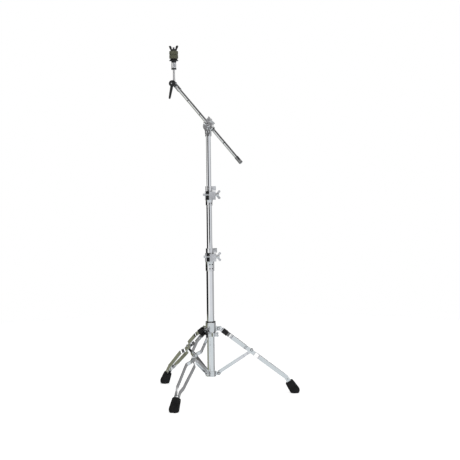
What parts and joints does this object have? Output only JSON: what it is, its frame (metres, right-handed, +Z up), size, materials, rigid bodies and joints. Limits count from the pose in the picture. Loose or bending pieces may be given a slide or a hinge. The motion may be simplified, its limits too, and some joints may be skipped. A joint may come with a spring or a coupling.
{
  "type": "cymbal boom stand",
  "caption": "Folding tripod stand with a telescopic column, a tilting and sliding boom, and a felt-padded cymbal tilter at its upper end.",
  "frame": {"origin": "middle of the whole stand's plan outline, on the floor; the column's axis is at x = -0.081471 m, y = 0", "axes": "+Z up the column, +X along leg 1, the boom rises towards -X and slightly +Y"},
  "size_m": [0.5244, 0.6004, 1.3405],
  "materials": {
    "chrome_tube": "bright plated steel tube",
    "leg_steel": "bright plated flat bar",
    "cast_chrome": "plated casting, slightly soft",
    "foot_rubber": "matt moulded rubber",
    "nylon": "black nylon",
    "black_plastic": "satin moulded plastic",
    "wool_felt": "pressed wool felt"
  },
  "bodies": {
    "base": {"lower_tube": "chrome_tube", "tube_plug": "black_plastic", "lower_collar": "cast_chrome", "lower_clamp": "cast_chrome", "lower_bushing": "nylon", "lower_bolt": "cast_chrome"},
    "brace_1": {"brace_1": "chrome_tube", "brace_pin_1": "cast_chrome"},
    "leg_1": {"leg_1_left_strip": "leg_steel", "leg_1_right_strip": "leg_steel", "leg_1_sleeve": "black_plastic", "foot_1": "foot_rubber", "hip_rivet_1": "cast_chrome", "knee_rivet_1": "cast_chrome"},
    "brace_2": {"brace_2": "chrome_tube", "brace_pin_2": "cast_chrome"},
    "leg_2": {"leg_2_left_strip": "leg_steel", "leg_2_right_strip": "leg_steel", "leg_2_sleeve": "black_plastic", "foot_2": "foot_rubber", "hip_rivet_2": "cast_chrome", "knee_rivet_2": "cast_chrome"},
    "brace_3": {"brace_3": "chrome_tube", "brace_pin_3": "cast_chrome"},
    "leg_3": {"leg_3_left_strip": "leg_steel", "leg_3_right_strip": "leg_steel", "leg_3_sleeve": "black_plastic", "foot_3": "foot_rubber", "hip_rivet_3": "cast_chrome", "knee_rivet_3": "cast_chrome"},
    "leg_collar": {"leg_collar": "cast_chrome", "collar_bushing": "nylon"},
    "collar_wing_screw": {"collar_wing_screw": "cast_chrome"},
    "lower_wing_nut": {"lower_wing_nut": "cast_chrome"},
    "lower_lock": {"lower_memory_lock": "cast_chrome", "lower_lock_screw": "cast_chrome"},
    "middle_column": {"middle_tube": "chrome_tube", "upper_clamp": "cast_chrome", "upper_bushing": "nylon", "upper_bolt": "cast_chrome"},
    "upper_wing_nut": {"upper_wing_nut": "cast_chrome"},
    "upper_lock": {"upper_memory_lock": "cast_chrome", "upper_lock_screw": "cast_chrome"},
    "upper_column": {"upper_tube": "chrome_tube", "tilter_post": "cast_chrome"},
    "tilter_wing_screw": {"tilter_wing_screw": "cast_chrome"},
    "boom_clamp": {"boom_clamp": "cast_chrome"},
    "boom_wing_screw": {"boom_wing_screw": "cast_chrome"},
    "boom_bushing": {"boom_bushing": "nylon"},
    "boom": {"boom_tube": "chrome_tube", "boom_end_cap": "cast_chrome", "boom_yoke": "cast_chrome", "tilt_bolt": "cast_chrome"},
    "tilt_lever": {"tilt_lever": "black_plastic"},
    "cymbal_rod": {"cymbal_rod": "chrome_tube", "seat_sleeve": "chrome_tube", "cymbal_seat": "black_plastic", "felt_lower": "wool_felt"},
    "felt_upper": {"felt_upper": "wool_felt"},
    "cymbal_wing_nut": {"cymbal_wing_nut": "black_plastic"}
  },
  "joints": [
    {"name": "tripod_fold", "type": "hinge", "parent": "base", "child": "brace_1", "pos_m": [-0.05267, 0, 0.0861], "axis": [0, -1, 0], "range_deg": [-6, 48]},
    {"name": "brace_2_hinge", "type": "hinge", "parent": "base", "child": "brace_2", "pos_m": [-0.09587, 0.02494, 0.0861], "axis": [0.866, 0.5, 0], "range_deg": [-6, 48]},
    {"name": "brace_3_hinge", "type": "hinge", "parent": "base", "child": "brace_3", "pos_m": [-0.09587, -0.02494, 0.0861], "axis": [-0.866, 0.5, 0], "range_deg": [-6, 48]},
    {"name": "knee_1", "type": "hinge", "parent": "brace_1", "child": "leg_1", "pos_m": [0.07533, 0, 0.17244], "axis": [0, -1, 0], "range_deg": [-96, 12]},
    {"name": "knee_2", "type": "hinge", "parent": "brace_2", "child": "leg_2", "pos_m": [-0.15987, 0.1358, 0.17244], "axis": [0.866, 0.5, 0], "range_deg": [-96, 12]},
    {"name": "knee_3", "type": "hinge", "parent": "brace_3", "child": "leg_3", "pos_m": [-0.15987, -0.1358, 0.17244], "axis": [-0.866, 0.5, 0], "range_deg": [-96, 12]},
    {"name": "collar_hinge", "type": "hinge", "parent": "leg_1", "child": "leg_collar", "pos_m": [-0.05267, 0, 0.25878], "axis": [0, -1, 0], "range_deg": [-6, 48]},
    {"name": "collar_wing_screw_spin", "type": "hinge", "parent": "leg_collar", "child": "collar_wing_screw", "pos_m": [-0.06327, -0.02036, 0.238], "axis": [0.9135, 0.4067, 0], "continuous": true},
    {"name": "lower_wing_nut_spin", "type": "hinge", "parent": "base", "child": "lower_wing_nut", "pos_m": [-0.05885, -0.02542, 0.536], "axis": [0.9936, -0.1132, 0], "continuous": true},
    {"name": "middle_swivel", "type": "hinge", "parent": "base", "child": "lower_lock", "pos_m": [-0.08147, 0, 0.558], "axis": [0, 0, 1], "continuous": true},
    {"name": "middle_slide", "type": "slide", "parent": "lower_lock", "child": "middle_column", "axis": [0, 0, 1], "range_m": [-0.162, 0.15]},
    {"name": "upper_wing_nut_spin", "type": "hinge", "parent": "middle_column", "child": "upper_wing_nut", "pos_m": [-0.05849, -0.02224, 0.771], "axis": [0.9936, -0.1132, 0], "continuous": true},
    {"name": "upper_swivel", "type": "hinge", "parent": "middle_column", "child": "upper_lock", "pos_m": [-0.08147, 0, 0.794], "axis": [0, 0, 1], "continuous": true},
    {"name": "upper_slide", "type": "slide", "parent": "upper_lock", "child": "upper_column", "axis": [0, 0, 1], "range_m": [-0.187, 0.11]},
    {"name": "boom_tilt", "type": "hinge", "parent": "upper_column", "child": "boom_clamp", "pos_m": [-0.07299, 0.017, 1.03], "axis": [0.4462, 0.8949, 0], "range_deg": [-60, 45]},
    {"name": "tilter_wing_screw_spin", "type": "hinge", "parent": "upper_column", "child": "tilter_wing_screw", "pos_m": [-0.08591, -0.0089, 1.03], "axis": [-0.4462, -0.8949, 0], "continuous": true},
    {"name": "boom_wing_screw_spin", "type": "hinge", "parent": "boom_clamp", "child": "boom_wing_screw", "pos_m": [-0.07207, 0.02699, 1.05347], "axis": [0.4462, 0.8949, 0], "continuous": true},
    {"name": "boom_roll", "type": "hinge", "parent": "boom_clamp", "child": "boom_bushing", "pos_m": [-0.07299, 0.017, 1.03], "axis": [-0.5918, 0.2951, 0.7501], "continuous": true},
    {"name": "boom_slide", "type": "slide", "parent": "boom_bushing", "child": "boom", "axis": [-0.5918, 0.2951, 0.7501], "range_m": [-0.153, 0.115]},
    {"name": "cymbal_tilt", "type": "hinge", "parent": "boom", "child": "cymbal_rod", "pos_m": [-0.20379, 0.08222, 1.19578], "axis": [0.4462, 0.8949, 0], "range_deg": [-95, 90]},
    {"name": "tilt_lever_swing", "type": "hinge", "parent": "boom", "child": "tilt_lever", "pos_m": [-0.20379, 0.08222, 1.19578], "axis": [0.4462, 0.8949, 0], "continuous": true},
    {"name": "top_felt_lift", "type": "slide", "parent": "cymbal_rod", "child": "felt_upper", "axis": [0, 0, 1], "range_m": [0, 0.01]},
    {"name": "cymbal_wing_nut_spin", "type": "hinge", "parent": "felt_upper", "child": "cymbal_wing_nut", "pos_m": [-0.20379, 0.08222, 1.19578], "axis": [0, 0, 1], "continuous": true}
  ],
  "couplings": [
    {"joint": "brace_2_hinge", "follows": "tripod_fold", "ratio": 1},
    {"joint": "brace_3_hinge", "follows": "tripod_fold", "ratio": 1},
    {"joint": "knee_1", "follows": "tripod_fold", "ratio": -2},
    {"joint": "knee_2", "follows": "tripod_fold", "ratio": -2},
    {"joint": "knee_3", "follows": "tripod_fold", "ratio": -2},
    {"joint": "collar_hinge", "follows": "tripod_fold", "ratio": 1}
  ]
}
